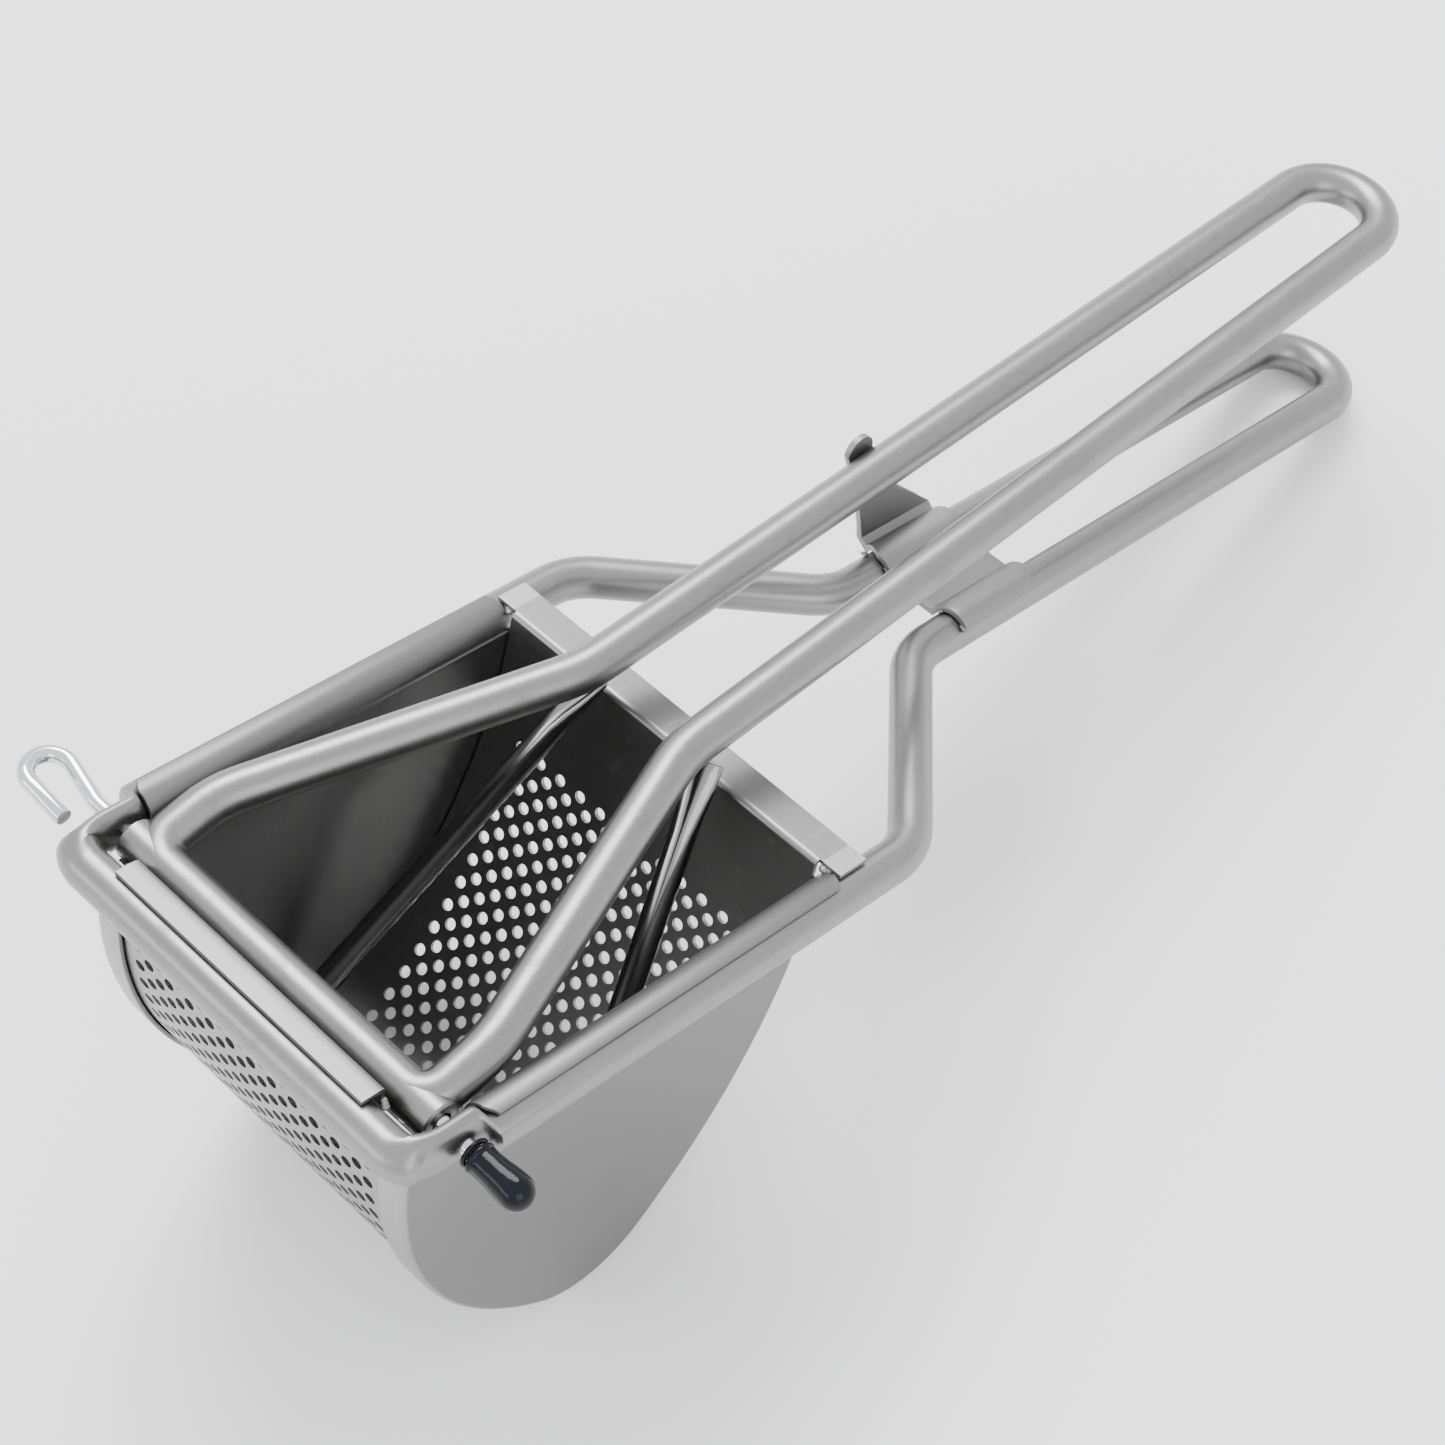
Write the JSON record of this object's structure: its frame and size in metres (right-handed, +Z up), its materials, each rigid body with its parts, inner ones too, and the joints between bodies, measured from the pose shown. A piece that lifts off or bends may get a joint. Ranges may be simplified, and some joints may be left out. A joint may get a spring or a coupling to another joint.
{
  "type": "potato ricer",
  "caption": "Hand potato ricer: wedge-shaped perforated basket in a bent tube frame, with a hinged press frame and plate on a removable wire pin.",
  "frame": {"origin": "middle of the object's footprint, level with the table it lies on", "axes": "+Z up from the table, +Y from the hinge and basket towards the handle ends, +X across towards the capped end of the hinge pin"},
  "size_m": [0.1216, 0.2974, 0.0984],
  "materials": {
    "tube_steel": "satin, fine brushing",
    "sheet_steel": "fine satin",
    "bright_steel": "polished",
    "vinyl": "glossy dipped vinyl"
  },
  "bodies": {
    "basket": {"basket_frame": "tube_steel", "side_plate_right": "sheet_steel", "side_plate_left": "sheet_steel", "ricing_sheet": "sheet_steel", "bridge_plate": "sheet_steel"},
    "press": {"press_frame": "tube_steel", "press_plate": "sheet_steel", "brace_right": "tube_steel", "brace_left": "tube_steel"},
    "hinge_pin": {"hinge_pin": "bright_steel"},
    "pin_cap": {"pin_cap": "vinyl", "pin_ring": "vinyl"}
  },
  "joints": [
    {"name": "press_hinge", "type": "hinge", "parent": "basket", "child": "press", "pos_m": [0.00237, -0.13485, 0.09041], "axis": [1, 0, 0], "range_deg": [0, 90]},
    {"name": "pin_slide", "type": "slide", "parent": "basket", "child": "hinge_pin", "axis": [-1, 0, 0], "range_m": [0, 0.12]},
    {"name": "cap_slide", "type": "slide", "parent": "basket", "child": "pin_cap", "axis": [1, 0, 0], "range_m": [0, 0.02]}
  ]
}
